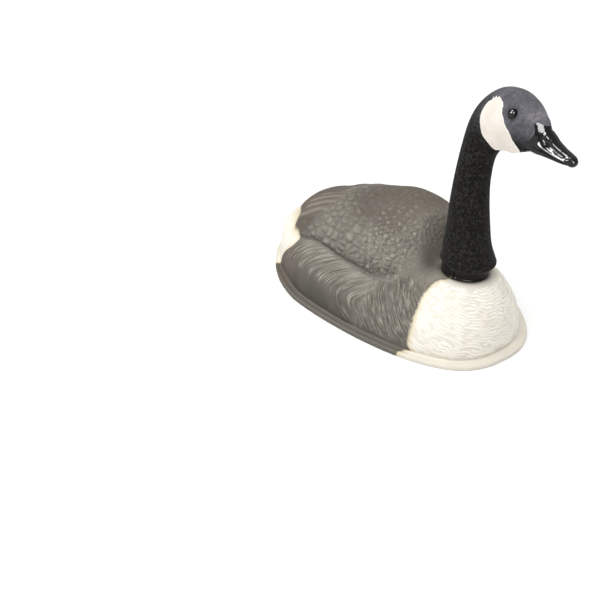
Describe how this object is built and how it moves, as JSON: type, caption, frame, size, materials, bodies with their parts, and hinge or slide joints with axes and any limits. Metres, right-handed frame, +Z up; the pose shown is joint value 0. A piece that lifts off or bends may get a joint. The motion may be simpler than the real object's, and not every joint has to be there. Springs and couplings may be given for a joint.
{
  "type": "goose shell decoy",
  "caption": "Hollow goose body shell with moulded feathers and a plug-in neck and head that swivels, for standing on open ground.",
  "frame": {"origin": "on the ground, under the middle of the decoy's overall length, on its plane of symmetry", "axes": "+Z up, the bird faces -Y, +X is the bird's left side"},
  "size_m": [0.389, 0.5711, 0.4036],
  "materials": {
    "shell_plastic": "matte painted, feather relief",
    "ring_plastic": "semi-gloss",
    "flocked_head": "flocked, dead matte",
    "bill_plastic": "gloss",
    "eye_plastic": "high gloss"
  },
  "bodies": {
    "shell": {"body_shell": "shell_plastic"},
    "head": {"head_and_neck": "flocked_head", "neck_ring": "ring_plastic", "bill": "bill_plastic", "eye_left": "eye_plastic", "eye_right": "eye_plastic"}
  },
  "joints": [
    {"name": "head_turn", "type": "hinge", "parent": "shell", "child": "head", "pos_m": [0, -0.1515, 0.112], "axis": [0, 0, 1], "range_deg": [-90, 90]}
  ]
}
